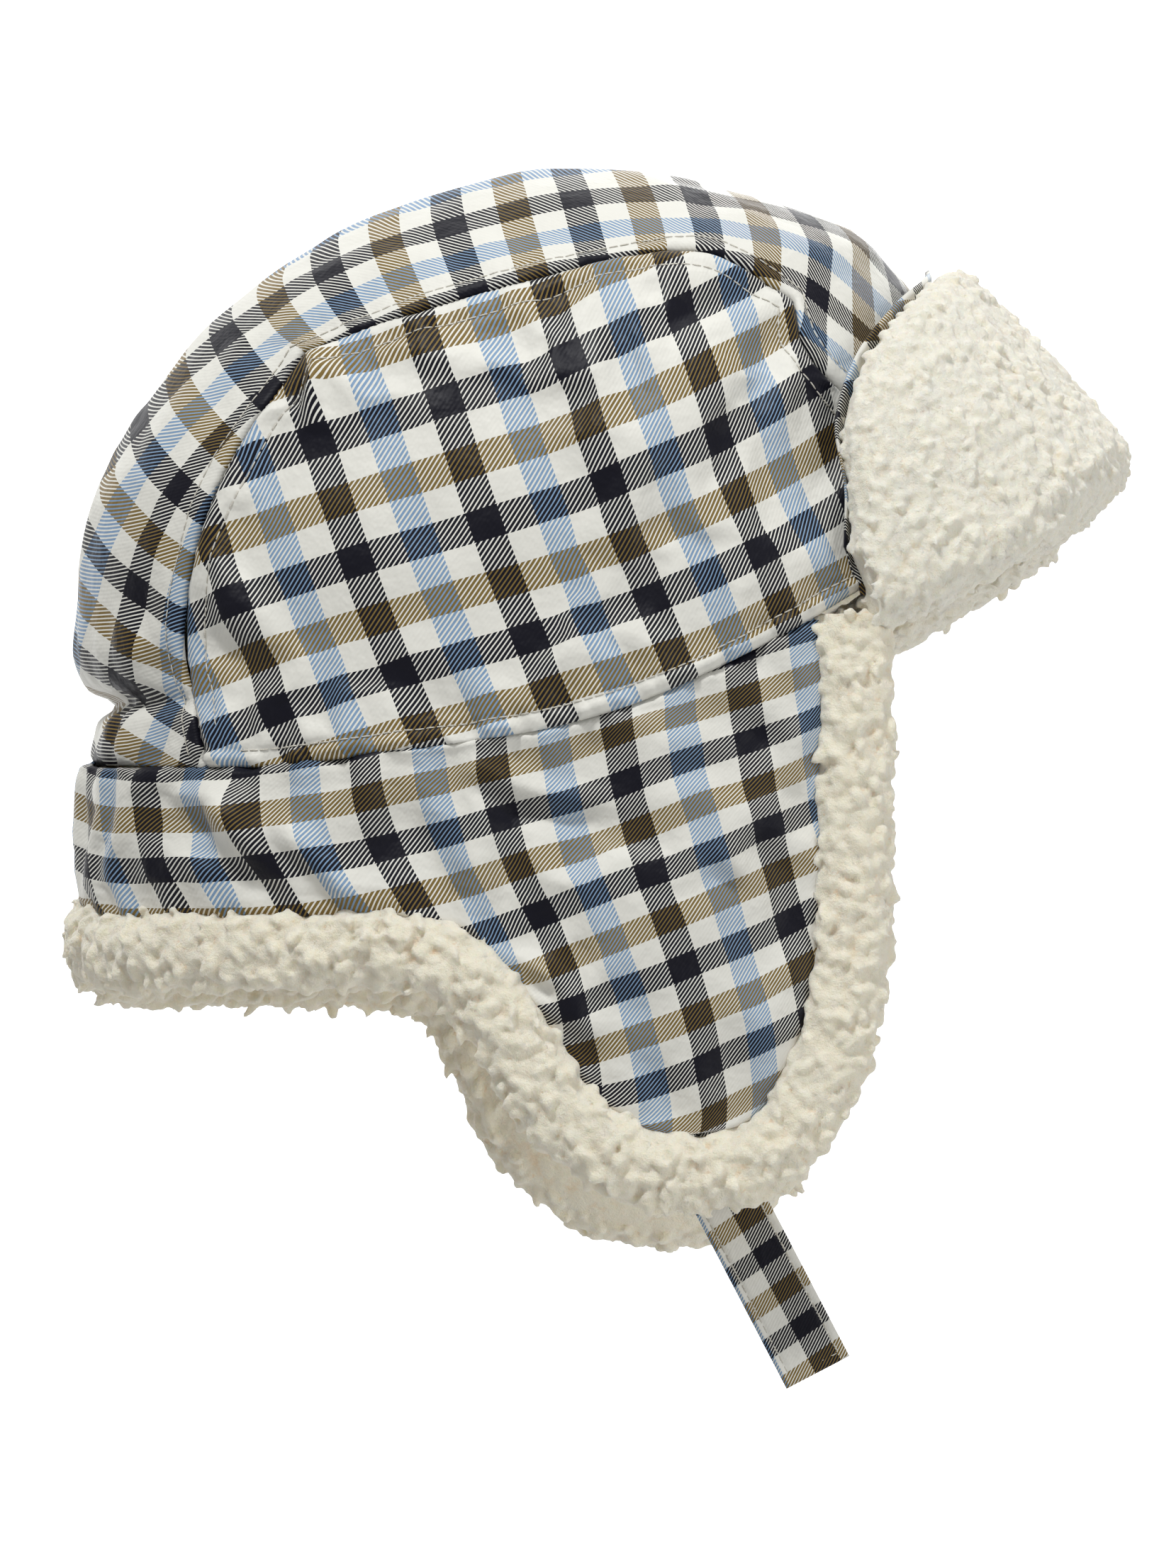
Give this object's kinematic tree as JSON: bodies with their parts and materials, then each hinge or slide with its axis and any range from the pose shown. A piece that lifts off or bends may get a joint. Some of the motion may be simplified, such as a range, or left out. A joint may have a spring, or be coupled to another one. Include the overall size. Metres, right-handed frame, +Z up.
{
  "type": "trapper hat",
  "caption": "Padded trapper hat with a pile lining: panelled check crown, turned-up pile front flap, earflaps with a rolled pile border, and a chin strap.",
  "frame": {"origin": "middle of the head opening, in the tilted brow-to-nape plane", "axes": "+X to the wearer's front, +Z up, +Y to the wearer's left"},
  "size_m": [0.2667, 0.17, 0.3084],
  "materials": {
    "check_cloth": "smooth twill-printed check, navy, light blue, tan and cream, slight sheen",
    "pile": "curly cream pile",
    "wadding": "white polyester wadding",
    "elastic": "woven elastic",
    "tape": "hook and loop tape",
    "label": "blank satin label"
  },
  "bodies": {
    "crown": {"crown_center_shell": "check_cloth", "crown_center_wadding": "wadding", "crown_center_lining": "pile", "crown_right_shell": "check_cloth", "crown_right_wadding": "wadding", "crown_right_lining": "pile", "crown_left_shell": "check_cloth", "crown_left_wadding": "wadding", "crown_left_lining": "pile", "band_right_shell": "check_cloth", "band_right_wadding": "wadding", "band_right_lining": "pile", "band_left_shell": "check_cloth", "band_left_wadding": "wadding", "band_left_lining": "pile", "forehead_fold": "pile", "nape_elastic": "elastic", "care_label": "label"},
    "earflap_right": {"earflap_right_shell": "check_cloth", "earflap_right_wadding": "wadding", "earflap_right_lining": "pile"},
    "earflap_left": {"earflap_left_shell": "check_cloth", "earflap_left_wadding": "wadding", "earflap_left_lining": "pile", "flap_loop_patch": "tape"},
    "front_flap": {"front_flap_shell": "check_cloth", "front_flap_wadding": "wadding", "front_flap_pile": "pile"},
    "strap": {"chin_strap": "check_cloth", "strap_hook_tape": "tape"}
  },
  "joints": [
    {"name": "earflap_right_fold", "type": "hinge", "parent": "crown", "child": "earflap_right", "pos_m": [0.012, -0.085, -0.0755], "axis": [-0.9154, 0, -0.4025], "range_deg": [0, 110]},
    {"name": "earflap_left_fold", "type": "hinge", "parent": "crown", "child": "earflap_left", "pos_m": [0.012, 0.085, -0.0755], "axis": [0.9154, 0, 0.4025], "range_deg": [0, 110]},
    {"name": "front_flap_fold", "type": "hinge", "parent": "crown", "child": "front_flap", "pos_m": [0.1275, 0, 0.046], "axis": [0, 1, 0], "range_deg": [0, 45]},
    {"name": "strap_swing", "type": "hinge", "parent": "earflap_right", "child": "strap", "pos_m": [0.0207, -0.0608, -0.134], "axis": [0.887, 0, 0.4617], "range_deg": [0, 80]}
  ]
}
